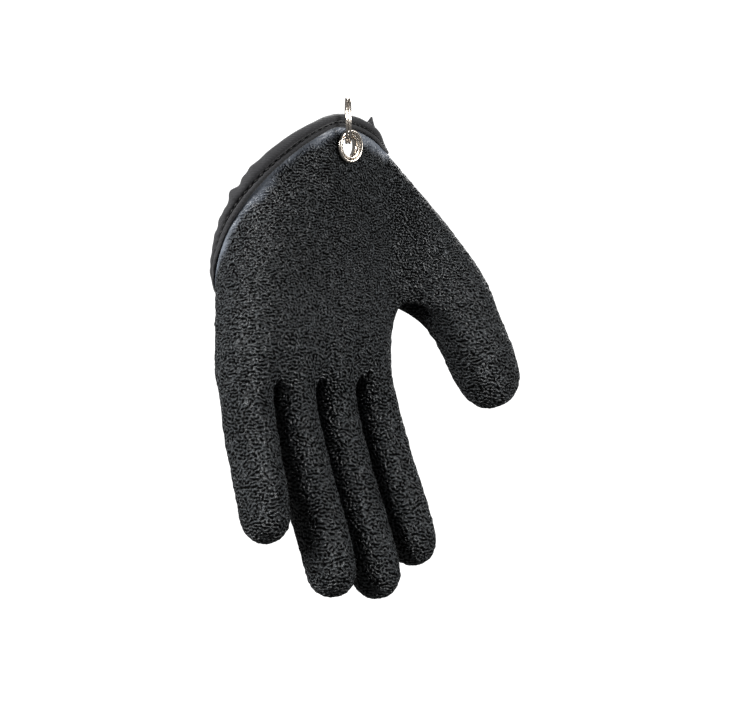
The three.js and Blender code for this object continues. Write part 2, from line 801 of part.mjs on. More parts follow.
// Colours, with the roughness and metalness of the real finishes.
const dippedCoat = new THREE.MeshStandardMaterial({ color: 0x26292a, roughness: 0.55, metalness: 0 });
const tapeCloth = new THREE.MeshStandardMaterial({ color: 0x2b2a2c, roughness: 0.8, metalness: 0 });
const brightNickel = new THREE.MeshStandardMaterial({ color: 0xd8d6d2, roughness: 0.2, metalness: 1 });

const glove = new THREE.Group();
function addPiece(name, geometry, material) {
  const piece = new THREE.Mesh(geometry, material);
  piece.name = name;
  glove.add(piece);
}

addPiece('glove_shell', makeShell(), dippedCoat);
addPiece('cuff_binding', makeBinding(), tapeCloth);
addPiece('cuff_tab', makeTab(), tapeCloth);
addPiece('eyelet', turnedRing(eyeletOutline, eyeletSides), brightNickel);
addPiece('eyelet_washer', turnedRing(washerOutline, eyeletSides), brightNickel);
addPiece('split_ring', makeSplitRing(), brightNickel);

export default glove;
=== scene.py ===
# %% [markdown]
# # A fishing glove with a crinkled grip
#
# This is a left-hand landing glove, shown with the form a hand gives it. A knitted liner is dipped in
# latex, whose surface is crinkled so that it grips a wet fish. The slanted cuff is bound with woven
# tape, and an eyelet with a split ring hangs the glove from a belt.
#
# The imported model is the frame for everything here. It is loaded first, and its parts are kept,
# each hidden once a finished piece stands for it.

# %% Load the frame
import math

import bmesh
import bpy
import numpy as np
from mathutils import Matrix, Vector, noise
from mathutils.bvhtree import BVHTree


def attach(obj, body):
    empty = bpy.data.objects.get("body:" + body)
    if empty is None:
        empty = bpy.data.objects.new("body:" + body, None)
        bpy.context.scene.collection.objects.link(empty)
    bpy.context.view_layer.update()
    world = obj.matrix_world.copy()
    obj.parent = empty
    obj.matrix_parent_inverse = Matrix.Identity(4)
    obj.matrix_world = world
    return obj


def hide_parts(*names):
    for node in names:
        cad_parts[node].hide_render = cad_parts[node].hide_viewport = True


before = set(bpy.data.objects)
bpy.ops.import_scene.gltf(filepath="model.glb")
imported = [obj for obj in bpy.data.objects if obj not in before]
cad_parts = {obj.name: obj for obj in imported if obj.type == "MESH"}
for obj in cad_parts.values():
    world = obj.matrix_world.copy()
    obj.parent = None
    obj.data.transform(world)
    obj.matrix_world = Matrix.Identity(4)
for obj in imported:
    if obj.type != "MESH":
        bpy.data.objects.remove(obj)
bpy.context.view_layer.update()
print("frame nodes:", sorted(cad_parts))

# %% [markdown]
# Blender works in metres and the glove is drawn in millimetres, so lengths are kept in millimetres
# and a piece is scaled once, when its mesh is made. Colours are written as the sRGB hex values that a
# colour picker shows. Shaders want linear light, so one function does the change.

# %% Units, colours and nodes
MM = 0.001


def hex_colour(code):
    """Linear RGBA from an sRGB hex value."""
    channels = [int(code[i:i + 2], 16) / 255 for i in (1, 3, 5)]
    return [c / 12.92 if c <= 0.04045 else ((c + 0.055) / 1.055) ** 2.4 for c in channels] + [1.0]


def add_node(tree, kind, settings=None, **links):
    """Adds a node, sets its properties and sockets, and links other nodes' outputs to its sockets."""
    node = tree.nodes.new(kind)
    for key, value in (settings or {}).items():
        if isinstance(key, int) or key in node.inputs:
            node.inputs[key].default_value = value
        else:
            setattr(node, key, value)
    for key, source in links.items():
        socket = int(key[1:]) if key[1:].isdigit() else key.replace("_", " ")
        tree.links.new(source, node.inputs[socket])
    return node


def new_material(name):
    """An empty material with its output and its Principled shader, linked."""
    material = bpy.data.materials.new(name)
    material.use_nodes = True
    tree = material.node_tree
    tree.nodes.clear()
    shader = add_node(tree, "ShaderNodeBsdfPrincipled")
    add_node(tree, "ShaderNodeOutputMaterial", Surface=shader.outputs["BSDF"])
    return material, tree, shader


print("black of the coat, linear:", [round(c, 4) for c in hex_colour("#26292a")])

# %% [markdown]
# The glove's sizes are the same as in the model's source: the cuff, the palm, the five digits and the
# tables that say how a row of points is placed. They are in millimetres, and shares are of the size
# that the row's name says.

# %% Sizes of the glove
CUFF_WIDTH, CUFF_DEPTH, CUFF_RISE = 86, 55, 43
PALM_WIDTH, PALM_DEPTH, PALM_FORWARD = 94, 37, 4
WEB_DROP, CROTCH_DROP = 43, 75
FINGER_WIDTH, FINGER_DEPTH = 23, 26
LITTLE_LENGTH, RING_LENGTH, MIDDLE_LENGTH, INDEX_LENGTH = 75, 103, 107, 94
THUMB_WIDTH, THUMB_DEPTH, THUMB_LENGTH = 33.5, 32, 54
THUMB_REACH, THUMB_FORWARD, FORK_WIDTH, FORK_RISE = 74.2, 23, 21, 24
SHELL_WALL = 1.8
TAPE_REACH, TAPE_LAYER, STITCH_INSET, SEAT_GAP = 4.8, 1.3, 2.1, 0.45
TAB_WIDTH, TAB_HEIGHT = 11, 16
EYELET_FLANGE, EYELET_HOLE, EYELET_SHEET = 15, 9, 0.6
FLANGE_HEIGHT, WASHER_DIAMETER = 1.5, 14.4
RING_DIAMETER, RING_WIRE, RING_LAY, RING_SAG = 21, 1.25, 0.12, 2.4
RING_TURN, RING_TURNS = -35, 1.9

EDGE_HEIGHTS = [-0.15, 0.34, 0.74, 0.99, 0.9, 0.7, 0.66, 0.38, -0.08, -0.47, -0.72, -0.75]
PALM_COLUMNS = [
    {"across": -0.93, "deep": 0.5, "knuckle": 0.52},
    {"across": -0.735, "deep": 0.8, "knuckle": 0.97},
    {"across": -0.49, "deep": 0.95, "knuckle": 0.8},
    {"across": -0.245, "deep": 1, "knuckle": 1.02},
    {"across": 0, "deep": 1, "knuckle": 0.82},
]
HAND_ROWS = [
    {"down": 0, "swell": 0.05, "hollow": 0},
    {"down": 0.2, "swell": 0.5, "hollow": 0.1},
    {"down": 0.42, "swell": 0.95, "hollow": 0.45},
    {"down": 0.64, "swell": 1, "hollow": 0.9},
    {"down": 0.84, "swell": 0.6, "hollow": 1},
]
THUMB_SWELL, PALM_HOLLOW, WEB_TILT = 3.5, 2.5, 12
FINGERS = [
    {"at": -0.735, "length": LITTLE_LENGTH, "girth": 0.98, "forward": 3, "lean": -3.8, "curl": 19.5},
    {"at": -0.245, "length": RING_LENGTH, "girth": 1, "forward": 1, "lean": 1.6, "curl": 20.5},
    {"at": 0.245, "length": MIDDLE_LENGTH, "girth": 1, "forward": 0, "lean": 2.4, "curl": 20.5},
    {"at": 0.735, "length": INDEX_LENGTH, "girth": 0.98, "forward": 1, "lean": 3.4, "curl": 20.5},
]
# A row of a digit has its share of the straight length, its girth and its share of the curl. A row of
# a tip has how far it lies above the end, as a share of the digit's width, and its girth.
FINGER_ROWS = [(0.1, 0.98, 0.5), (0.34, 1.02, 0.8), (0.58, 0.98, 1.15), (0.8, 0.99, 1.3),
               (1, 0.97, 1.05)]
THUMB_ROWS = [(0.25, 0.98, 0.9), (0.62, 0.98, 1.05), (1, 0.95, 0.9)]
TIP_ROWS = [(0.27, 0.86), (0.05, 0.5)]
TIP_ROUND, TIP_CROWN = 0.52, -0.04
THUMB_LEAN, THUMB_CURL = 21, 12
THUMB_ROOT, THUMB_AIM, THUMB_FALL, HOLLOW_FALL = 1.06, -25, 1.5, 4
FLAT_REACH, FLAT_FADE = 0.75, 1.9
EYELET_PLACE, TAB_PLACE = 12, 23
CUFF_COLUMNS, FINGER_SIDES = 24, 8
FRONT_COLUMNS = 2 * len(PALM_COLUMNS) - 1
EIGHT_DRAW = (4 + 2 * math.cos(math.radians(45))) / 6
print("lengths of the digits:", THUMB_LENGTH, INDEX_LENGTH, MIDDLE_LENGTH, RING_LENGTH, LITTLE_LENGTH)

# %% [markdown]
# ## The cage
#
# A glove has no flat or round faces, so it is drawn as a coarse cage of corners and four-sided faces,
# which Blender's Subdivision Surface turns into a smooth skin. The cage starts with 24 corners round
# the cuff. At the thumb's fork the ring divides in two, and at the finger forks the palm's ring
# divides in four. Each digit is a row of eight-cornered rings that ends in a cap of four faces. Such a
# cage has no triangles, so the skin runs smoothly through the forks.

# %% Points of the cuff and the palm


def at_turn(rows, turn):
    """A value on a smooth closed curve through equally spaced rows, from -180 degrees on."""
    place = ((turn + 180) % 360) * len(rows) / 360
    whole = int(math.floor(place))
    part = place - whole
    before, start, end, after = (rows[(whole + shift) % len(rows)] for shift in (-1, 0, 1, 2))
    bend_start, bend_end = (end - before) / 2, (after - start) / 2
    square, cube = part ** 2, part ** 3
    return ((2 * cube - 3 * square + 1) * start + (cube - 2 * square + part) * bend_start
            + (3 * square - 2 * cube) * end + (cube - square) * bend_end)


def mix(start, end, share):
    return start + (end - start) * share


def turn_of(column):
    return 360 / CUFF_COLUMNS * (column + 1) - 180


def cuff_point(column):
    turn = turn_of(column)
    angle = math.radians(turn)
    return Vector((CUFF_WIDTH / 2 * math.cos(angle), CUFF_DEPTH / 2 * math.sin(angle),
                   CUFF_RISE * at_turn(EDGE_HEIGHTS, turn)))


def palm_point(column, front, knuckle):
    row = PALM_COLUMNS[min(column, FRONT_COLUMNS - 1 - column)]
    across = -row["across"] if column > FRONT_COLUMNS / 2 else row["across"]
    drop = mix(WEB_DROP + WEB_TILT * (1 - across) / 2, CROTCH_DROP, knuckle)
    deep = mix(row["deep"], row["knuckle"], knuckle) * PALM_DEPTH / 2
    hollow = PALM_HOLLOW * (1 - knuckle) * (1 - across ** 2) if front else 0
    return Vector((across * PALM_WIDTH / 2, (-deep if front else deep) + hollow - PALM_FORWARD, -drop))


def palm_edge(side, knuckle):
    drop = mix(WEB_DROP + WEB_TILT * (1 - side) / 2, CROTCH_DROP, knuckle)
    return Vector((side * PALM_WIDTH / 2, -PALM_FORWARD, -drop))


print("height of the cuff's edge, palm side and back:",
      round(cuff_point(5).z, 1), round(cuff_point(17).z, 1))

# %% Rings of a digit


def digit_tilt(lean, curl):
    return Matrix.Rotation(math.radians(-lean), 3, "Y") @ Matrix.Rotation(math.radians(-curl), 3, "X")


def digit_ring(middle, half_width, half_depth, lean, curl):
    tilt = digit_tilt(lean, curl)
    angles = [math.radians(360 / FINGER_SIDES * side - 135) for side in range(FINGER_SIDES)]
    return [middle + tilt @ Vector((half_width / EIGHT_DRAW * math.cos(a),
                                    half_depth / EIGHT_DRAW * math.sin(a), 0)) for a in angles]


THUMB_BASE = Vector((THUMB_REACH, -THUMB_FORWARD, -WEB_DROP))
thumb_ring = digit_ring(THUMB_BASE, THUMB_ROOT * THUMB_WIDTH / 2, THUMB_ROOT * THUMB_DEPTH / 2,
                        THUMB_LEAN, THUMB_CURL)


def web_point(column):
    """The ring where the thumb forks off, in the same order as the cuff's columns."""
    if column < FRONT_COLUMNS:
        return palm_point(column, True, 0)
    if column < FRONT_COLUMNS + FINGER_SIDES - 3:
        return thumb_ring[column - FRONT_COLUMNS + 1].copy()
    if column < CUFF_COLUMNS - 1:
        return palm_point(CUFF_COLUMNS - 2 - column, False, 0)
    return palm_edge(-1, 0)


def tape_share(column):
    """How far down a column the tape's edge lies, as a share of the way to the thumb's fork."""
    way = web_point(column) - cuff_point(column)
    along = (cuff_point(column + 0.5) - cuff_point(column - 0.5)).normalized()
    slant = along.dot(way.normalized())
    return TAPE_REACH / math.sqrt(1 - slant ** 2) / way.length


def hand_point(column, down, swell, hollow):
    angle = math.radians(turn_of(column))
    out = Vector((math.cos(angle), math.sin(angle), 0))
    ball = max(0, math.cos(angle - math.radians(THUMB_AIM))) ** THUMB_FALL
    point = cuff_point(column).lerp(web_point(column), down) + out * swell * THUMB_SWELL * ball
    point.y += hollow * PALM_HOLLOW * max(0, -out.y) ** HOLLOW_FALL
    return point


print("the thumb's base:", [round(x, 1) for x in THUMB_BASE])

# %% Build the cage
cage_points, cage_faces = [], []


def add_ring(points):
    cage_points.extend(points)
    return list(range(len(cage_points) - len(points), len(cage_points)))


def add_band(upper, lower):
    for i, corner in enumerate(upper):
        following = (i + 1) % len(upper)
        cage_faces.append([corner, lower[i], lower[following], upper[following]])


def add_digit(base, start, length, width, depth, lean, curl_whole, rows):
    """Carries a digit on from its base ring to a rounded end."""
    straight = length - TIP_ROUND * width
    place, above, passed = start.copy(), base, 0
    steps = [(down * straight, girth, curl_whole * bend) for down, girth, bend in rows]
    steps += [(length - back * width, girth, curl_whole * rows[-1][2]) for back, girth in TIP_ROWS]
    for along, girth, curl in steps:
        place = place + digit_tilt(lean, curl) @ Vector((0, 0, passed - along))
        passed = along
        corners = add_ring(digit_ring(place, girth * width / 2, girth * depth / 2, lean, curl))
        add_band(above, corners)
        above = corners
    crown_drop = passed - length + TIP_CROWN * width
    crown, = add_ring([place + digit_tilt(lean, curl) @ Vector((0, 0, crown_drop))])
    for side in range(0, FINGER_SIDES, 2):
        cage_faces.append([crown, above[(side + 2) % FINGER_SIDES], above[side + 1], above[side]])


columns = range(CUFF_COLUMNS)
ring = add_ring([cuff_point(column) for column in columns])
for row in HAND_ROWS:
    lower = add_ring([hand_point(c, mix(tape_share(c), 1, row["down"]), row["swell"], row["hollow"])
                      for c in columns])
    add_band(ring, lower)
    ring = lower
web = add_ring([web_point(column) for column in columns])
add_band(ring, web)
web_middle, = add_ring([palm_edge(1, 0) + Vector((FORK_WIDTH, 0, FORK_RISE))])
front = web[:FRONT_COLUMNS]
back = web[CUFF_COLUMNS - 1 - FRONT_COLUMNS:CUFF_COLUMNS - 1]
thumb_side = web[FRONT_COLUMNS:CUFF_COLUMNS - 1 - FRONT_COLUMNS]
add_digit([front[-1], *thumb_side, back[0], web_middle], THUMB_BASE, THUMB_LENGTH, THUMB_WIDTH,
          THUMB_DEPTH, THUMB_LEAN, THUMB_CURL, THUMB_ROWS)

palm_ring = [*front, web_middle, *back, web[-1]]
for knuckle in (0.5, 1):
    row_front = [palm_point(c, True, knuckle) for c in range(FRONT_COLUMNS)]
    row_back = [palm_point(c, False, knuckle) for c in reversed(range(FRONT_COLUMNS))]
    lower = add_ring([*row_front, palm_edge(1, knuckle), *row_back, palm_edge(-1, knuckle)])
    add_band(palm_ring, lower)
    palm_ring = lower
palm_front = palm_ring[:FRONT_COLUMNS]
palm_back = palm_ring[FRONT_COLUMNS + 1:2 * FRONT_COLUMNS + 1][::-1]
forks = add_ring([Vector(((a["at"] + b["at"]) / 2 * PALM_WIDTH / 2, -PALM_FORWARD, -CROTCH_DROP))
                  for a, b in zip(FINGERS, FINGERS[1:])])
forks = [palm_ring[-1], *forks, palm_ring[FRONT_COLUMNS]]
for i, finger in enumerate(FINGERS):
    base = [palm_front[2 * i], palm_front[2 * i + 1], palm_front[2 * i + 2], forks[i + 1],
            palm_back[2 * i + 2], palm_back[2 * i + 1], palm_back[2 * i], forks[i]]
    start = Vector((finger["at"] * PALM_WIDTH / 2, -PALM_FORWARD - finger["forward"], -CROTCH_DROP))
    add_digit(base, start, finger["length"], finger["girth"] * FINGER_WIDTH,
              finger["girth"] * FINGER_DEPTH, finger["lean"], finger["curl"], FINGER_ROWS)
print("cage:", len(cage_points), "points and", len(cage_faces), "faces")

# %% [markdown]
# ## The skin
#
# The Subdivision Surface modifier smooths the cage in three rounds, which leaves faces about 1.7 mm
# wide. Its result is read back as plain points, because the later pieces are fitted to it: the tape
# follows its open edge, and the eyelet stands on it.

# %% Smooth the cage


def mesh_object(name, points, faces):
    """A new smooth-shaded object from points in millimetres."""
    mesh = bpy.data.meshes.new(name)
    mesh.from_pydata([tuple(MM * x for x in point) for point in points], [], faces)
    mesh.update()
    mesh.shade_smooth()
    obj = bpy.data.objects.new(name, mesh)
    bpy.context.scene.collection.objects.link(obj)
    return obj


def smooth_skin(levels):
    """The cage after its modifier has smoothed it, as points in millimetres and faces."""
    cage = mesh_object("cage", cage_points, cage_faces)
    modifier = cage.modifiers.new("Smooth", "SUBSURF")
    modifier.levels = levels
    modifier.use_limit_surface = True
    modifier.boundary_smooth = "ALL"
    made = cage.evaluated_get(bpy.context.evaluated_depsgraph_get()).to_mesh()
    points = [Vector(v.co) / MM for v in made.vertices]
    faces = [list(p.vertices) for p in made.polygons]
    bpy.data.objects.remove(cage)
    return points, faces


skin_points, skin_faces = smooth_skin(3)
print("skin:", len(skin_points), "points,", 2 * len(skin_faces), "triangles")

# %% [markdown]
# The setting tool of an eyelet presses the cuff flat round it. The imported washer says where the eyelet
# is and which way it faces: the washer is flat and round, so its middle is its place and its thinnest
# direction is its axis. The skin is pressed to that plane, and the flat fades out past the flange.

# %% Press the skin flat round the eyelet
washer_points = [Vector(v.co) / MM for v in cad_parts["eyelet_washer"].data.vertices]
washer_middle = sum(washer_points, Vector()) / len(washer_points)
spread = np.array([tuple(point - washer_middle) for point in washer_points])
EYELET_OUT = Vector(np.linalg.svd(spread, full_matrices=False)[2][2])
if EYELET_OUT.y > 0:
    EYELET_OUT.negate()
WASHER_DEPTH = SHELL_WALL + SEAT_GAP + EYELET_SHEET / 2
EYELET_MIDDLE = washer_middle + EYELET_OUT * WASHER_DEPTH
EYELET_TURN = EYELET_OUT.to_track_quat("Z", "Y").to_matrix().to_4x4()
EYELET_SEAT = Matrix.Translation(EYELET_MIDDLE) @ EYELET_TURN


def smoothstep(value, low, high):
    share = min(1, max(0, (value - low) / (high - low)))
    return share * share * (3 - 2 * share)


for i, point in enumerate(skin_points):
    off = point - EYELET_MIDDLE
    height = off.dot(EYELET_OUT)
    away = (off - EYELET_OUT * height).length / EYELET_FLANGE
    if abs(height) < EYELET_FLANGE / 2:
        flatness = smoothstep(FLAT_FADE - away, 0, FLAT_FADE - FLAT_REACH)
        skin_points[i] = point - EYELET_OUT * height * flatness
pressed = mesh_object("pressed", skin_points, skin_faces)
skin_normals = [Vector(n.vector) for n in pressed.data.vertex_normals]
bpy.data.objects.remove(pressed)
print("eyelet at", [round(x, 1) for x in EYELET_MIDDLE], "facing", [round(x, 2) for x in EYELET_OUT])

# %% [markdown]
# The open edge of the skin is put in order, starting at the cage's first column, so that a place on it
# can be named by its share of the way round. An edge that only one face uses lies on the rim. If the
# row of corners comes out the wrong way round, it is turned.

# %% The cuff's edge
uses = {}
for face in skin_faces:
    for a, b in zip(face, face[1:] + face[:1]):
        uses.setdefault(frozenset((a, b)), []).append((a, b))
follows = {pair[0][1]: pair[0][0] for pair in uses.values() if len(pair) == 1}
first_limit = (cuff_point(-1) + 4 * cuff_point(0) + cuff_point(1)) / 6
start = min(follows, key=lambda corner: (skin_points[corner] - first_limit).length)
rim = [start]
while follows[rim[-1]] != start:
    rim.append(follows[rim[-1]])
second_limit = (cuff_point(0) + 4 * cuff_point(1) + cuff_point(2)) / 6
NEAR = 1
if (skin_points[rim[len(rim) // CUFF_COLUMNS]] - second_limit).length > NEAR:
    rim = [rim[0]] + rim[:0:-1]
RIM_LENGTH = sum((skin_points[a] - skin_points[b]).length for a, b in zip(rim, rim[1:] + rim[:1]))
print("cuff's edge:", len(rim), "points,", round(RIM_LENGTH), "mm long")

# %% [markdown]
# ## The coat and the liner
#
# The glove is two layers. The coat is the outer skin, with a hole punched for the eyelet. The liner is
# the same skin one wall further in, with its faces turned round. The tape covers the edge of both, so
# neither needs a cut edge of its own.
#
# A dipped coat is never quite even. Two sizes of noise move the coat's own points: a long swell, and
# small lumps that give the crinkle a rough outline against the floor. Both stop before the tape and the
# eyelet, which press the cloth. Each point of the coat also keeps its distance from the cuff's edge,
# because the latex is smooth in a narrow band next to the tape.

# %% Make the coat and the liner
HOLE_RADIUS = EYELET_HOLE / 2 + 2 * EYELET_SHEET + SEAT_GAP
HOLE_PULL = 0.8
skin_tree = BVHTree.FromPolygons(skin_points, skin_faces)


def punched(points, faces):
    """Points drawn to the eyelet's hole, and the faces outside it."""
    moved, radii = [], []
    for point in points:
        off = point - EYELET_MIDDLE
        height = off.dot(EYELET_OUT)
        flat = off - EYELET_OUT * height
        near = abs(height) < EYELET_FLANGE / 3
        if near and flat.length < HOLE_RADIUS + HOLE_PULL:
            point = point + flat.normalized() * (HOLE_RADIUS - flat.length)
        moved.append(point)
        radii.append(flat.length if near else math.inf)
    kept = [face for face in faces if sum(radii[corner] for corner in face) / len(face) > HOLE_RADIUS]
    return moved, kept


def without_loose(obj):
    """Takes away the points that no face uses."""
    made = bmesh.new()
    made.from_mesh(obj.data)
    bmesh.ops.delete(made, geom=[v for v in made.verts if not v.link_faces], context="VERTS")
    made.to_mesh(obj.data)
    made.free()
    return obj


LUMP_HEIGHT, LUMP_WIDTH, LUMP_FADE, SMOOTH_BAND = 0.55, 1.7, 4, 8
SWELL_HEIGHT, SWELL_WIDTH, SWELL_FADE = 0.22, 11, 3
FLANGE_SPACE = 1
rim_points = [skin_points[corner] for corner in rim]
rim_array = np.array([tuple(point) for point in rim_points])
from_rim = [float(np.linalg.norm(rim_array - np.array(tuple(point)), axis=1).min())
            for point in skin_points]


def lump(point, edge):
    """How far the coat stands off the even skin at a point, given its distance from the edge."""
    past_eyelet = (point - EYELET_MIDDLE).length - EYELET_FLANGE / 2 - FLANGE_SPACE
    lumps = LUMP_HEIGHT * smoothstep(min(edge - SMOOTH_BAND, past_eyelet), 0, LUMP_FADE)
    swell = SWELL_HEIGHT * smoothstep(min(edge - TAPE_REACH, past_eyelet), 0, SWELL_FADE)
    return (lumps * noise.noise(point / LUMP_WIDTH)
            + swell * noise.fractal(point / SWELL_WIDTH, 1.0, 2.0, 2))


uneven = [point + normal * lump(point, edge)
          for point, normal, edge in zip(skin_points, skin_normals, from_rim)]
coat_points, coat_faces = punched(uneven, skin_faces)
coat = mesh_object("coat", coat_points, coat_faces)
rim_distance = coat.data.attributes.new("rim_mm", "FLOAT", "POINT")
rim_distance.data.foreach_set("value", from_rim)
without_loose(coat)

inner = [point - normal * SHELL_WALL for point, normal in zip(skin_points, skin_normals)]
liner_points, liner_faces = punched(inner, skin_faces)
liner = without_loose(mesh_object("liner", liner_points, [face[::-1] for face in liner_faces]))
print("coat:", len(coat.data.polygons), "faces; liner:", len(liner.data.polygons), "faces")

# %% [markdown]
# ## The binding
#
# The cuff is bound with a folded tape, sewn on near its lower edge, where the thread draws it into a
# groove. Its section is a short list of corners, each with how far it lies down from the cuff's edge
# and how far out from the coat. The list is placed at every point of the edge, and a Subdivision
# Surface of two levels rounds it. A hand-fed tape is never even: it lies wider and its fold stands
# higher at the little finger, it is thinner where its two ends meet at the thumb, and noise puckers it.

# %% Lines that the tape follows
EDGE_STEPS = len(rim)
WIDER, HIGHER, THINNER = 0.3, 1.1, 0.4
FOLD_SIDE, ENDS_SIDE = (18, 40), (22, 34)
LINE_REACH = 3


def rim_normal(index):
    return skin_normals[rim[index % EDGE_STEPS]]


def tape_line(index):
    """A place on the edge, its way out and its way down the coat, square to the edge."""
    at = rim_points[index % EDGE_STEPS]
    along = (rim_points[(index + 1) % EDGE_STEPS] - rim_points[index - 1]).normalized()
    shifts = range(-LINE_REACH, LINE_REACH + 1)
    out = sum((rim_normal(index + shift) for shift in shifts), Vector()).normalized()
    down = out.cross(along).normalized()
    if skin_tree.find_nearest(at + down * TAPE_REACH)[3] > TAPE_REACH / 2:
        down.negate()
    return at, out, down


def reach_share(line):
    """How much wider the tape lies than its least width: most on the little finger's side."""
    past_eyelet = EYELET_MIDDLE.x - EYELET_FLANGE / 2 - 0.5 - line[0].x
    return 1 + WIDER * smoothstep(past_eyelet, 0, 25)


def fold_share(line):
    """How much further the fold stands past the edge than its least: most at the little finger."""
    return 1 + HIGHER * smoothstep(-line[0].x, *FOLD_SIDE)


def slim_share(line):
    """How much thinner the tape lies where its two ends meet, on the thumb's side."""
    return 1 - THINNER * smoothstep(line[0].x, *ENDS_SIDE)


def tape_point(line, down, out):
    """A point on the tape: how far down from the edge, and how far out from the coat."""
    at, away, way = line
    if out > 0:
        out *= slim_share(line)
    if down <= 0:
        return at + way * down * fold_share(line) + away * out
    down *= reach_share(line)
    near, normal = skin_tree.find_nearest(at + way * down)[:2]
    half_way = 0.5 * min(1, down / TAPE_REACH)
    blend = away.lerp(normal if normal.dot(away) > 0 else away, half_way)
    return near + blend.normalized() * out


tape_lines = [tape_line(index) for index in range(EDGE_STEPS)]
steps = EDGE_STEPS // (2 * CUFF_COLUMNS)
print("tape line under the eyelet goes", [round(x, 2) for x in tape_lines[EYELET_PLACE * steps][2]])

# %% Make the binding
GROOVE = TAPE_REACH - STITCH_INSET
TAPE_TOP = SEAT_GAP + 4 / 3 * TAPE_LAYER
TAPE_SECTION = [
    (TAPE_REACH, 0.3), (TAPE_REACH + 0.05, 0.9), (TAPE_REACH - 0.35, 1.55), (TAPE_REACH - 1.1, 1.75),
    (GROOVE + 0.5, 1.5), (GROOVE + 0.15, 0.4), (GROOVE - 0.15, 0.4), (GROOVE - 0.5, 1.55),
    (GROOVE - 1.2, TAPE_TOP - 0.05),
    (0.6, TAPE_TOP), (-0.35, 1.65), (-0.95, 0.6), (-1.15, -0.9), (-0.95, -2.4), (-0.2, -3.4),
    (1.4, -3.55), (GROOVE, -3.1), (TAPE_REACH, -3.5), (TAPE_REACH, -2.4), (GROOVE, -2.4),
    (-0.3, -2.4), (-0.5, -0.9), (-0.5, 0.45), (0.5, 0.5), (GROOVE, 0.4),
]


PUCKER_LEAST, PUCKER_MORE, PUCKER_SIDE = 0.16, 1.1, (27, 45)
PUCKER_LENGTH, PUCKER_WIDTH, PUCKER_SINK = 4.5, 6, 0.3
SEWN_FLAT = (0.2, 2.2)


def pucker(index, down):
    """How far the fold is lifted, most at the little finger's side and none at the stitches."""
    at = tape_lines[index][0]
    side = smoothstep(-at.x, *PUCKER_SIDE)
    slack = smoothstep(abs(down - GROOVE), *SEWN_FLAT)
    along = index * RIM_LENGTH / EDGE_STEPS
    wave = noise.noise(Vector((along / PUCKER_LENGTH, 0, down / PUCKER_WIDTH)))
    return (PUCKER_LEAST + PUCKER_MORE * side) * slack * wave


# The tape's inner layers lie on the cloth, so only its outer layer and its fold are lifted.
binding_points, binding_faces = [], []
for index, line in enumerate(tape_lines):
    for down, out in TAPE_SECTION:
        lift = pucker(index, down) if out > 0.5 or down < -0.5 else 0
        shift = -lift if down < 0 else 0
        binding_points.append(tape_point(line, down + shift, out + max(lift, -PUCKER_SINK)))
corners = len(TAPE_SECTION)
for index in range(EDGE_STEPS):
    for side in range(corners):
        a, b = index * corners, (index + 1) % EDGE_STEPS * corners
        binding_faces.append([a + side, a + (side + 1) % corners, b + (side + 1) % corners, b + side])
binding = mesh_object("binding", binding_points, binding_faces)
modifier = binding.modifiers.new("Round the folds", "SUBSURF")
modifier.levels = modifier.render_levels = 2
print("binding:", len(binding_faces), "faces before rounding")

# %% [markdown]
# The stitches are short runs of thread along the groove. Each one dips into the cloth at both ends, so
# the line reads as dashes, as it does in a row of machine sewing.

# %% Make the stitches
STITCH_PITCH, STITCH_LENGTH, THREAD_RADIUS = 3.2, 2.5, 0.34
STITCH_ENDS, STITCH_RISE, THREAD_END = 0.8, 0.6, 0.55
STITCH_POINTS, THREAD_SIDES = 6, 6


def tube(path, radii, sides, points, faces):
    """Adds a round tube along a path, closed with a point at each end."""
    first = len(points)
    for i, (middle, radius) in enumerate(zip(path, radii)):
        way = (path[min(i + 1, len(path) - 1)] - path[max(i - 1, 0)]).normalized()
        side = way.orthogonal().normalized()
        other = way.cross(side)
        for k in range(sides):
            angle = 2 * math.pi * k / sides
            points.append(middle + (side * math.cos(angle) + other * math.sin(angle)) * radius)
    for i in range(len(path) - 1):
        a = first + i * sides
        for k in range(sides):
            faces.append([a + k, a + (k + 1) % sides, a + sides + (k + 1) % sides, a + sides + k])
    faces.append(list(range(first, first + sides))[::-1])
    faces.append(list(range(len(points) - sides, len(points))))


stitch_points, stitch_faces = [], []
count = round(RIM_LENGTH / STITCH_PITCH)
for stitch in range(count):
    path, radii = [], []
    for k in range(STITCH_POINTS):
        share = k / (STITCH_POINTS - 1)
        arch = math.sin(math.pi * share)
        place = (stitch + STITCH_LENGTH / STITCH_PITCH * (share - 0.5)) * EDGE_STEPS / count
        low = int(math.floor(place))
        height = STITCH_ENDS + STITCH_RISE * arch
        before, after = (tape_point(tape_lines[near % EDGE_STEPS], GROOVE, height)
                         for near in (low, low + 1))
        path.append(before.lerp(after, place - low))
        radii.append(THREAD_RADIUS * (THREAD_END + (1 - THREAD_END) * arch))
    tube(path, radii, THREAD_SIDES, stitch_points, stitch_faces)
stitches = mesh_object("stitches", stitch_points, stitch_faces)
print("stitches:", count)

# %% [markdown]
# The tab is the tape's own end. It is sewn flat outside the binding, and its corner is folded to a
# point that stands above the edge. It is drawn as rows from its foot to its tip, a little curved, with
# a Bevel modifier that takes the sharpness off the folds. A row has its height, as a share of the tab's
# or, below the edge, of the tape's reach, and how far it goes to the palm's side and to the back, as
# shares of the tab's width.

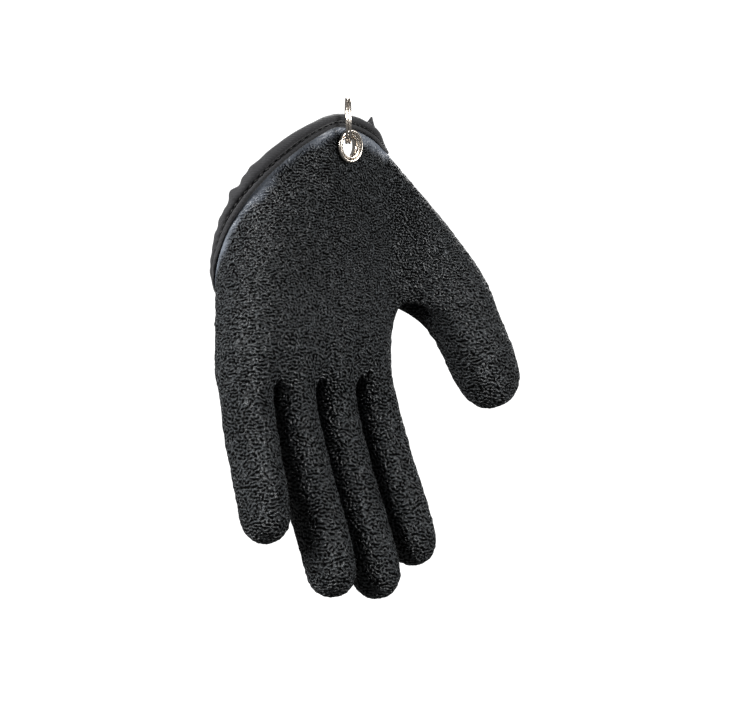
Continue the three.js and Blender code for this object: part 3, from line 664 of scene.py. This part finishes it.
# %% Make the tab
TAB_ROWS = [(-1, 0.54, 0.45), (-0.5, 0.55, 0.45), (0, 0.5, 0.45), (0.3, 0.4, 0.45), (0.57, 0.3, 0.42),
            (0.85, 0.15, 0.3), (0.97, 0.09, 0.2), (1.14, 0.03, 0)]
tab_line = tape_lines[TAB_PLACE * steps]
tab_up = Vector((0, 0, 1))
tab_out = (tab_line[1] - tab_up * tab_line[1].dot(tab_up)).normalized()
tab_back = tab_up.cross(tab_out)
tab_lift = TAPE_TOP + 2 * SEAT_GAP
tab_points = []
for height, palm, back_share in TAB_ROWS:
    foot = tape_point(tab_line, -height * TAPE_REACH, 0) if height < 0 else tab_line[0]
    foot = foot + tab_up * max(0, height) * TAB_HEIGHT
    for side, layer in ((-palm, 0), (-palm / 3, 0.08), (back_share / 2, 0.08), (back_share, 0),
                        (back_share, 1), (back_share / 2, 1.15), (-palm / 3, 1.15), (-palm, 1)):
        aside = tab_back * side * TAB_WIDTH
        outward = tab_out * (tab_lift + layer * TAPE_LAYER)
        tab_points.append(foot + aside + outward)
TAB_SIDES = 8
tab_faces = []
for row in range(len(TAB_ROWS) - 1):
    a, b = row * TAB_SIDES, (row + 1) * TAB_SIDES
    tab_faces += [[a + k, a + (k + 1) % TAB_SIDES, b + (k + 1) % TAB_SIDES, b + k]
                  for k in range(TAB_SIDES)]
last = TAB_SIDES * (len(TAB_ROWS) - 1)
for base in (0, last):
    caps = [[base, base + 1, base + 6, base + 7], [base + 1, base + 2, base + 5, base + 6],
            [base + 2, base + 3, base + 4, base + 5]]
    tab_faces += caps if base else [cap[::-1] for cap in caps]
tab = mesh_object("tab", tab_points, tab_faces)
modifier = tab.modifiers.new("Soft folds", "BEVEL")
modifier.width, modifier.segments = 0.35 * MM, 3
print("tab stands", TAB_HEIGHT, "mm above the edge")

# %% [markdown]
# ## The metal
#
# An eyelet is one piece of sheet metal, pressed into a rolled outer lip, a groove and a funnel, whose
# end is rolled over a washer inside the cuff. All of it is round, so its outline is turned about the
# eyelet's axis in 96 steps. Each outline corner is a radius and a height above the coat. The groove's
# points are marked for the metal's colour, which paints them dark: a painted shade of the groove, whose
# metal is also tarnished.

# %% Make the eyelet and its washer
FLANGE, BORE = EYELET_FLANGE / 2, EYELET_HOLE / 2
BARREL = BORE + 2 * EYELET_SHEET
WASHER_FLOOR = -SHELL_WALL - SEAT_GAP - EYELET_SHEET
THROAT_FLOOR = WASHER_FLOOR - SEAT_GAP - EYELET_SHEET


def turned(name, outline, sides=96):
    """A ring turned from a closed outline round the eyelet's axis."""
    points = [EYELET_SEAT @ Vector((r * math.cos(a), r * math.sin(a), h))
              for a in (2 * math.pi * k / sides for k in range(sides)) for r, h in outline]
    size = len(outline)
    faces = [[k * size + i, (k + 1) % sides * size + i, (k + 1) % sides * size + (i + 1) % size,
              k * size + (i + 1) % size] for k in range(sides) for i in range(size)]
    obj = mesh_object(name, points, faces)
    made = bmesh.new()
    made.from_mesh(obj.data)
    bmesh.ops.recalc_face_normals(made, faces=made.faces)
    made.to_mesh(obj.data)
    made.free()
    return obj


LIP = [
    (BARREL + 0.4, 0.25), (FLANGE - 0.3, 0.2), (FLANGE, 0.6), (FLANGE + 0.05, 1.15),
    (FLANGE - 0.15, 1.7), (FLANGE - 0.5, 1.95), (FLANGE - 0.95, 1.95), (FLANGE - 1.3, 1.65),
    (FLANGE - 1.5, 1.2),
]
GROOVE_CORNERS = [(FLANGE - 1.62, 0.75), (FLANGE - 1.78, 0.72), (FLANGE - 1.92, 1.0)]
FUNNEL = [
    (FLANGE - 2.05, 1.28), (FLANGE - 2.3, 1.32), (FLANGE - 2.6, 1.05), (BORE + 0.12, 0.35),
    (BORE, -0.2), (BORE + 0.12, -0.7), (BORE + 0.45, -1.3), (BORE + 0.85, -2),
    (BORE + 1.1, WASHER_FLOOR), (BORE + 1.6, THROAT_FLOOR), (BORE + 2.1, THROAT_FLOOR + 0.05),
    (BORE + 2.2, THROAT_FLOOR + 0.4), (BORE + 1.9, WASHER_FLOOR - 0.3), (BORE + 1.45, WASHER_FLOOR),
    (BORE + 1.2, -1.9), (BORE + 0.8, -0.9),
]
eyelet_outline = LIP + GROOVE_CORNERS + FUNNEL
eyelet = turned("eyelet_turned", eyelet_outline)
# The groove's points carry a painted shade of the groove, whose metal is also tarnished.
groove_shade_and_tarnish = eyelet.data.attributes.new("groove_shade_and_tarnish", "FLOAT", "POINT")
for i in range(len(groove_shade_and_tarnish.data)):
    groove_shade_and_tarnish.data[i].value = float(eyelet_outline[i % len(eyelet_outline)] in GROOVE_CORNERS)
washer = turned("washer_turned", [
    (BARREL + 0.3, WASHER_FLOOR), (BARREL + 0.3, WASHER_FLOOR + 0.5),
    (BARREL + 0.4, WASHER_FLOOR + 0.6), (WASHER_DIAMETER / 2 - 0.1, WASHER_FLOOR + 0.6),
    (WASHER_DIAMETER / 2, WASHER_FLOOR + 0.5), (WASHER_DIAMETER / 2, WASHER_FLOOR + 0.1),
    (WASHER_DIAMETER / 2 - 0.1, WASHER_FLOOR),
])
print("eyelet:", EYELET_FLANGE, "mm across with a", EYELET_HOLE, "mm hole")

# %% [markdown]
# The split ring is a spring-steel wire coiled for nearly two turns. The turns lie side by side, and
# the wire steps from one to the other in a short bend at the top, where its two ends stop. Both turns
# are one path, and the wire is drawn as a tube of sixteen sides. It hangs clear of the eyelet's lip.

# %% Make the split ring
ring_radius = (RING_DIAMETER - RING_WIRE) / 2
throat_middle = (SEAT_GAP + FLANGE_HEIGHT + THROAT_FLOOR) / 2
ring_middle = EYELET_MIDDLE + EYELET_OUT * throat_middle
ring_middle.z = EYELET_MIDDLE.z + BORE - RING_SAG - RING_WIRE + RING_DIAMETER / 2
ring_place = Matrix.Translation(ring_middle) @ Matrix.Rotation(math.radians(RING_TURN), 4, "Z")
RING_STEPS, RING_SIDES = 220, 16
RING_STEP, RING_ASIDE = 0.05, 0.3
ring_path = []
for k in range(RING_STEPS + 1):
    coiled = (k / RING_STEPS - 0.5) * RING_TURNS
    angle = 2 * math.pi * coiled
    turn_share = smoothstep(coiled, -RING_STEP, RING_STEP) - 0.5
    beside = turn_share * (RING_WIRE + RING_LAY) + RING_ASIDE
    ring_path.append(ring_place @ Vector((beside, ring_radius * math.sin(angle),
                                          ring_radius * math.cos(angle))))
ring_points, ring_faces = [], []
tube(ring_path, [RING_WIRE / 2] * len(ring_path), RING_SIDES, ring_points, ring_faces)
split_ring = mesh_object("split_ring_coiled", ring_points, ring_faces)
print("split ring:", RING_DIAMETER, "mm across,", RING_WIRE, "mm wire")

# %% [markdown]
# ## The crinkled latex
#
# A crinkle finish is made while the latex is still wet: the glove is dipped in a solvent that swells
# the surface, which then folds into short worm-like ridges. On this glove they are about 1.3 mm apart
# near the cuff and 1.65 mm on the fingers. The colour paints the ridges grey, partly rubbed wear and
# partly a painted sheen, and the folds between them near black, as painted shade. Gabor noise suits it,
# because its waves have one width but no set direction, and a little plain noise bends them. The same
# pattern drives a bump and the colour. A finer noise wears the ridges unevenly.
#
# Latex is a natural rubber: no metal, IOR about 1.52, and satin when dry. The bump can't shade its own
# folds, as deep real ones do, so the folds are rougher and reflect little. Noise scales below are
# counts in a metre: 260 is a patch 3.8 mm wide, 90 is 11 mm and 620 is 1.6 mm.

# %% Crinkled latex
CRINKLE_FINE, CRINKLE_COARSE = 1.3, 1.65
WAVES_IN_CELL, WANDER, CRINKLE_DEPTH, PATCHY_EDGE = 1.7, 1.1, 2.6, 8.0
latex, tree, shader = new_material("crinkled_latex")
shader.inputs["IOR"].default_value = 1.52
place = add_node(tree, "ShaderNodeTexCoord")
wander = add_node(tree, "ShaderNodeTexNoise", {"Scale": 260.0, "Detail": 3.0},
                  Vector=place.outputs["Object"])
wander = add_node(tree, "ShaderNodeVectorMath", {"operation": "SUBTRACT", 1: (0.5, 0.5, 0.5)},
                  _0=wander.outputs["Color"])
wander = add_node(tree, "ShaderNodeVectorMath", {"operation": "SCALE", "Scale": WANDER * MM},
                  _0=wander.outputs["Vector"])
where = add_node(tree, "ShaderNodeVectorMath", {"operation": "ADD"}, _0=place.outputs["Object"],
                 _1=wander.outputs["Vector"])


def crinkle(period):
    """Worm-like waves with one period in millimetres."""
    gabor = add_node(tree, "ShaderNodeTexGabor",
                     {"gabor_type": "3D", "Scale": 1 / (period * MM * WAVES_IN_CELL),
                      "Frequency": WAVES_IN_CELL, "Anisotropy": 0.0}, Vector=where.outputs["Vector"])
    return gabor.outputs["Value"]


split = add_node(tree, "ShaderNodeSeparateXYZ", Vector=place.outputs["Object"])
towards_fingers = add_node(tree, "ShaderNodeMapRange",
                           {"From Min": 0.005, "From Max": -0.085}, Value=split.outputs["Z"])
waves = add_node(tree, "ShaderNodeMix", {"data_type": "FLOAT"}, _0=towards_fingers.outputs["Result"],
                 _2=crinkle(CRINKLE_FINE), _3=crinkle(CRINKLE_COARSE))
ridges = add_node(tree, "ShaderNodeMapRange",
                  {"interpolation_type": "SMOOTHSTEP", "From Min": 0.36, "From Max": 0.62},
                  Value=waves.outputs[0])
edge_distance = add_node(tree, "ShaderNodeAttribute", {"attribute_name": "rim_mm"})
patchy = add_node(tree, "ShaderNodeTexNoise", {"Scale": 90.0, "Detail": 3.0},
                  Vector=place.outputs["Object"])
patchy = add_node(tree, "ShaderNodeMath",
                  {"operation": "MULTIPLY_ADD", 1: PATCHY_EDGE, 2: -PATCHY_EDGE / 2},
                  _0=patchy.outputs["Fac"])
edge_distance = add_node(tree, "ShaderNodeMath", {"operation": "ADD"}, _0=edge_distance.outputs["Fac"],
                         _1=patchy.outputs["Value"])
crinkled = add_node(tree, "ShaderNodeMapRange",
                    {"interpolation_type": "SMOOTHSTEP", "From Min": 6.0, "From Max": 11.0},
                    Value=edge_distance.outputs["Value"])
worn = add_node(tree, "ShaderNodeTexNoise", {"Scale": 620.0, "Detail": 4.0, "Roughness": 0.7},
                Vector=place.outputs["Object"])
worn = add_node(tree, "ShaderNodeMapRange", {"From Min": 0.36, "From Max": 0.64},
                Value=worn.outputs["Fac"])
# Ridges: grey from rubbed wear, lightened further as a painted sheen.
ridge_wear_and_sheen = add_node(tree, "ShaderNodeMix",
                        {"data_type": "RGBA", 6: hex_colour("#17191a"), 7: hex_colour("#3f4346")},
                        _0=worn.outputs["Result"])
rounded = add_node(tree, "ShaderNodeMapRange", {"From Min": 0.34, "From Max": 0.78},
                   Value=waves.outputs[0])
height = add_node(tree, "ShaderNodeMath", {"operation": "MULTIPLY_ADD", 1: 0.15},
                  _0=worn.outputs["Result"], _2=rounded.outputs["Result"])
height = add_node(tree, "ShaderNodeMath", {"operation": "MULTIPLY"}, _0=height.outputs["Value"],
                  _1=crinkled.outputs["Result"])
bump = add_node(tree, "ShaderNodeBump", {"Strength": 1.0, "Distance": CRINKLE_DEPTH * MM},
                Height=height.outputs["Value"])
tree.links.new(bump.outputs["Normal"], shader.inputs["Normal"])
# Folds: near black, a painted shade of the deep folds between the ridges.
painted_fold_shade = add_node(tree, "ShaderNodeMix", {"data_type": "RGBA", 6: hex_colour("#010101")},
                       _0=ridges.outputs["Result"], _7=ridge_wear_and_sheen.outputs[2])
# The smooth band next to the tape is painted a light bluish grey: a painted sheen on its smooth latex.
coat_colour = add_node(tree, "ShaderNodeMix", {"data_type": "RGBA", 6: hex_colour("#5b6068")},
                       _0=crinkled.outputs["Result"], _7=painted_fold_shade.outputs[2])
tree.links.new(coat_colour.outputs[2], shader.inputs["Base Color"])
coat_roughness = add_node(tree, "ShaderNodeMapRange", {"To Min": 0.8, "To Max": 0.4},
                          Value=ridges.outputs["Result"])
tree.links.new(coat_roughness.outputs["Result"], shader.inputs["Roughness"])
shine_share = add_node(tree, "ShaderNodeMapRange", {"To Min": 0.03, "To Max": 0.6},
                       Value=ridges.outputs["Result"])
tree.links.new(shine_share.outputs["Result"], shader.inputs["Specular IOR Level"])
coat.data.materials.append(latex)
print("crinkle periods in mm:", CRINKLE_FINE, "and", CRINKLE_COARSE)

# %% [markdown]
# ## Cloth, thread and metal
#
# The liner is a plain polyester knit. Its loops stand in columns about 1.4 mm wide, which two waves
# draw. The tape is polyester too, woven finely, about 0.5 mm from rib to rib. That is as fine as the
# picture's own points, so it is drawn at 0.7 mm. Both have the soft sheen of short fibres. A Wave
# texture of scale 1 makes 3.18 bands in each metre, and that turns a width into a scale.

# %% Knit liner
BANDS = 3.18


def cloth(name, dark, light, pattern, relief, sheen):
    """A cloth whose pattern drives its colour and a shallow bump."""
    material, tree, shader = new_material(name)
    place = add_node(tree, "ShaderNodeTexCoord")
    waves = [add_node(tree, "ShaderNodeTexWave",
                      {"bands_direction": direction, "Scale": 1 / (period * MM * BANDS),
                       "Distortion": bend, "Detail": 1.0, "Detail Scale": 2.0},
                      Vector=place.outputs["Object"]) for direction, period, bend in pattern]
    both = add_node(tree, "ShaderNodeMath", {"operation": "MULTIPLY"}, _0=waves[0].outputs["Fac"],
                    _1=waves[1].outputs["Fac"])
    fibres = add_node(tree, "ShaderNodeTexNoise", {"Scale": 900.0, "Detail": 3.0},
                      Vector=place.outputs["Object"])
    height = add_node(tree, "ShaderNodeMath", {"operation": "ADD"}, _0=both.outputs["Value"],
                      _1=fibres.outputs["Fac"])
    colour = add_node(tree, "ShaderNodeMapRange", {"From Min": 0.3, "From Max": 1.4},
                      Value=height.outputs["Value"])
    colour = add_node(tree, "ShaderNodeMix",
                      {"data_type": "RGBA", 6: hex_colour(dark), 7: hex_colour(light)},
                      _0=colour.outputs["Result"])
    tree.links.new(colour.outputs[2], shader.inputs["Base Color"])
    bump = add_node(tree, "ShaderNodeBump", {"Strength": 0.6, "Distance": relief * MM},
                    Height=height.outputs["Value"])
    tree.links.new(bump.outputs["Normal"], shader.inputs["Normal"])
    shader.inputs["Roughness"].default_value = 0.85
    shader.inputs["Sheen Weight"].default_value = sheen
    shader.inputs["Sheen Roughness"].default_value = 0.4
    return material


knit = cloth("polyester_knit", "#1a1a1c", "#3b3b3f", [("X", 1.4, 1.5), ("Z", 1.1, 1.5)], 0.3, 0.15)
liner.data.materials.append(knit)
print("knit loops 1.4 mm wide and 1.1 mm high")

# %% [markdown]
# The thread is a twisted polyester, darker than the tape. The eyelet, washer and ring are brass or
# steel plated with nickel in a bath: a warm white metal, polished by handling. Where the eyelet's groove
# was marked, it is painted dark: a painted shade of the groove, whose metal is also tarnished.

# %% Woven tape, thread and nickel
tape_cloth = cloth("woven_tape", "#0f0f11", "#27272a", [("DIAGONAL", 0.7, 0.6), ("Z", 0.9, 0.6)],
                   0.12, 0.3)
binding.data.materials.append(tape_cloth)
tab.data.materials.append(tape_cloth)

thread, tree, shader = new_material("polyester_thread")
shader.inputs["Roughness"].default_value = 0.6
place = add_node(tree, "ShaderNodeTexCoord")
twist = add_node(tree, "ShaderNodeTexNoise", {"Scale": 1800.0}, Vector=place.outputs["Object"])
thread_colour = add_node(tree, "ShaderNodeMix",
                         {"data_type": "RGBA", 6: hex_colour("#020202"), 7: hex_colour("#0c0c0d")},
                         _0=twist.outputs["Fac"])
tree.links.new(thread_colour.outputs[2], shader.inputs["Base Color"])
stitches.data.materials.append(thread)

nickel, tree, shader = new_material("bright_nickel_plate")
shader.inputs["Metallic"].default_value = 1.0
# The marked groove is painted dark: a painted shade, on metal that is also tarnished.
groove = add_node(tree, "ShaderNodeAttribute", {"attribute_name": "groove_shade_and_tarnish"})
nickel_colour = add_node(tree, "ShaderNodeMix",
                         {"data_type": "RGBA", 6: hex_colour("#dcd3c8"), 7: hex_colour("#2c2622")},
                         _0=groove.outputs["Fac"])
tree.links.new(nickel_colour.outputs[2], shader.inputs["Base Color"])
place = add_node(tree, "ShaderNodeTexCoord")
handling = add_node(tree, "ShaderNodeTexNoise", {"Scale": 500.0, "Detail": 4.0},
                    Vector=place.outputs["Object"])
polish = add_node(tree, "ShaderNodeMapRange", {"To Min": 0.16, "To Max": 0.36},
                  Value=handling.outputs["Fac"])
tree.links.new(polish.outputs["Result"], shader.inputs["Roughness"])
for piece in (eyelet, washer, split_ring):
    piece.data.materials.append(nickel)
print("materials:", [m.name for m in bpy.data.materials])

# %% [markdown]
# ## Riding on the frame
#
# Nothing on the glove turns or slides, so every piece rides on the one body. Each piece hides the part
# of the imported model that it stands for, and prints its name.

# %% Put the pieces on the frame
coat.name = "crinkled_coat"
liner.name = "knit_liner"
binding.name = "bound_edge"
tab.name = "tape_tab"
for piece, node, slot_name in (
        (coat, "glove_shell", "dipped_coat"), (liner, "glove_shell", "dipped_coat"),
        (binding, "cuff_binding", "tape_cloth"), (stitches, "cuff_binding", "tape_cloth"),
        (tab, "cuff_tab", "tape_cloth"), (eyelet, "eyelet", "bright_nickel"),
        (washer, "eyelet_washer", "bright_nickel"), (split_ring, "split_ring", "bright_nickel")):
    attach(piece, "root")
    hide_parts(node)
    print(piece.name, "stands for", node)

# %% [markdown]
# ## Studio
#
# The glove hangs just above a plain white floor, in front of a plain white wall. In a picture like this
# both are so bright that they carry no shade, as sheets of opal acrylic lit from behind are. They glow
# and reflect nothing, which also keeps the render short: the light's path ends there. Their light
# would wash out a black glove, so the floor and the wall are shown to the camera alone, by their ray
# visibility, and a dim grey room and three wide lamps light the glove: a strong one from the left, a
# weaker one from the right, and a faint one from behind that draws the edges.

# %% Floor, wall and room
FLOOR_REACH, FLOOR_DROP = 4000, 180
floor_corners = [(FLOOR_REACH * x, FLOOR_REACH * y, 0) for x, y in ((-1, -1), (1, -1), (1, 1), (-1, 1))]
floor = mesh_object("floor", floor_corners, [[0, 1, 2, 3]])
floor.location.z = -FLOOR_DROP * MM
WALL_SIDES, WALL_RADIUS, WALL_FOOT, WALL_HEIGHT = 48, 3900, -200, 6000
wall_angles = [2 * math.pi * side / WALL_SIDES for side in range(WALL_SIDES)]
wall = mesh_object("wall", [(WALL_RADIUS * math.cos(a), WALL_RADIUS * math.sin(a), z)
                            for z in (WALL_FOOT, WALL_HEIGHT) for a in wall_angles],
                   [[k, (k + 1) % WALL_SIDES, WALL_SIDES + (k + 1) % WALL_SIDES, WALL_SIDES + k]
                    for k in range(WALL_SIDES)])
opal_acrylic, tree, shader = new_material("backlit_opal_acrylic")
shader.inputs["Base Color"].default_value = hex_colour("#000000")
shader.inputs["Specular IOR Level"].default_value = 0
shader.inputs["Emission Color"].default_value = hex_colour("#ffffff")
shader.inputs["Emission Strength"].default_value = 1.3
for surface in (floor, wall):
    surface.data.materials.append(opal_acrylic)
    surface.visible_diffuse = surface.visible_glossy = surface.visible_shadow = False

ROOM_LIGHT = 0.14
world = bpy.data.worlds.new("grey_room")
bpy.context.scene.world = world
world.use_nodes = True
world.node_tree.nodes["Background"].inputs["Color"].default_value = hex_colour("#ffffff")
world.node_tree.nodes["Background"].inputs["Strength"].default_value = ROOM_LIGHT


CAMERA_TURN = math.radians(-35)
TOWARD = Vector((math.sin(CAMERA_TURN), -math.cos(CAMERA_TURN), 0))
RIGHT = Vector((math.cos(CAMERA_TURN), math.sin(CAMERA_TURN), 0))
GLOVE_MIDDLE = Vector((0.015, 0, -0.07))


def lamp(name, right, toward, up, size, power):
    """A wide soft lamp, placed in metres as the camera sees it, that points at the glove."""
    data = bpy.data.lights.new(name, "AREA")
    data.size, data.energy = size, power
    obj = bpy.data.objects.new(name, data)
    obj.location = GLOVE_MIDDLE + right * RIGHT + toward * TOWARD + Vector((0, 0, up))
    obj.rotation_mode = "QUATERNION"
    obj.rotation_quaternion = (GLOVE_MIDDLE - obj.location).to_track_quat("-Z", "Y")
    bpy.context.scene.collection.objects.link(obj)


lamp("left_lamp", -0.8, 0.45, 0.45, size=0.5, power=25)
lamp("right_lamp", 0.9, 0.3, 0.35, size=0.45, power=14)
lamp("back_lamp", 0.3, -0.9, 0.5, size=0.6, power=6)
print("lamps: left, right and back")

# %% [markdown]
# The camera stands 0.9 m away, at the height of the cuff and 35 degrees round towards the little
# finger, and turns down slightly to hold the glove. One point of a picture 749 points wide then covers
# 0.46 mm on the glove, and that gives the lens.

# %% Camera
DISTANCE, POINT_SIZE, PICTURE_WIDTH, SENSOR = 0.9, 0.46 * MM, 749, 36
AIM_ASIDE, AIM_DROP = 0.0344, 0.0676
eye = TOWARD * DISTANCE
aim = RIGHT * AIM_ASIDE + Vector((0, 0, -AIM_DROP))
camera_data = bpy.data.cameras.new("camera")
camera_data.sensor_width = SENSOR
camera_data.lens = SENSOR * (aim - eye).length / (PICTURE_WIDTH * POINT_SIZE)
camera = bpy.data.objects.new("camera", camera_data)
camera.location = eye
camera.rotation_mode = "QUATERNION"
camera.rotation_quaternion = (aim - eye).to_track_quat("-Z", "Y")
bpy.context.scene.collection.objects.link(camera)
bpy.context.scene.camera = camera
bpy.context.scene.view_settings.view_transform = "Standard"
print("lens:", round(camera_data.lens, 1), "mm")
